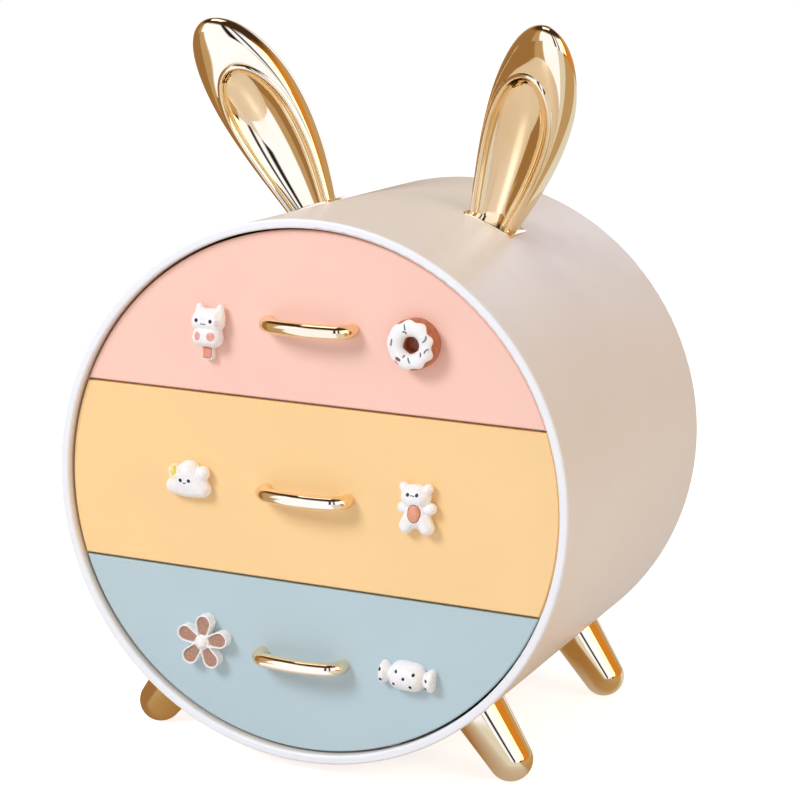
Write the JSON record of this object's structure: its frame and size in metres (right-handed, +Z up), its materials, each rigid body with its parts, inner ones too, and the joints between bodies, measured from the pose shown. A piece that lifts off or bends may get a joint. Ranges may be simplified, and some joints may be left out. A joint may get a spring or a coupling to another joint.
{
  "type": "desktop mini drawers",
  "caption": "Round desktop drawer drum on splayed round-ended legs, with pull-out drawers, bow handles, stuck-on charms and scooped ears on top.",
  "frame": {"origin": "on the floor, under the middle of the bounding box", "axes": "+Z up, -Y towards the drawer fronts, +X to the right seen from the front"},
  "size_m": [0.18, 0.1554, 0.2454],
  "materials": {
    "casing_white": "satin",
    "pink": "satin",
    "yellow": "satin",
    "blue": "satin",
    "plated_gold": "polished",
    "handle_gold": "polished",
    "steel": "satin",
    "cream_resin": "gloss",
    "dough": "gloss"
  },
  "bodies": {
    "casing": {"drum_shell": "casing_white", "back_cover": "casing_white", "back_cover_screws": "steel", "upper_shelf": "casing_white", "lower_shelf": "casing_white", "left_ear": "plated_gold", "right_ear": "plated_gold", "ear_screws": "steel", "front_left_leg": "plated_gold", "front_right_leg": "plated_gold", "rear_left_leg": "plated_gold", "rear_right_leg": "plated_gold", "leg_screws": "steel"},
    "top_drawer": {"top_tray": "pink", "top_front": "pink", "top_handle": "handle_gold", "top_handle_screws": "steel", "cat_charm": "cream_resin", "donut_charm": "dough"},
    "middle_drawer": {"middle_tray": "yellow", "middle_front": "yellow", "middle_handle": "handle_gold", "middle_handle_screws": "steel", "cloud_charm": "cream_resin", "bear_charm": "cream_resin"},
    "bottom_drawer": {"bottom_tray": "blue", "bottom_front": "blue", "bottom_handle": "handle_gold", "bottom_handle_screws": "steel", "flower_charm": "cream_resin", "candy_charm": "cream_resin"}
  },
  "joints": [
    {"name": "top_drawer_slide", "type": "slide", "parent": "casing", "child": "top_drawer", "axis": [0, -1, 0], "range_m": [0, 0.095]},
    {"name": "middle_drawer_slide", "type": "slide", "parent": "casing", "child": "middle_drawer", "axis": [0, -1, 0], "range_m": [0, 0.095]},
    {"name": "bottom_drawer_slide", "type": "slide", "parent": "casing", "child": "bottom_drawer", "axis": [0, -1, 0], "range_m": [0, 0.095]}
  ]
}
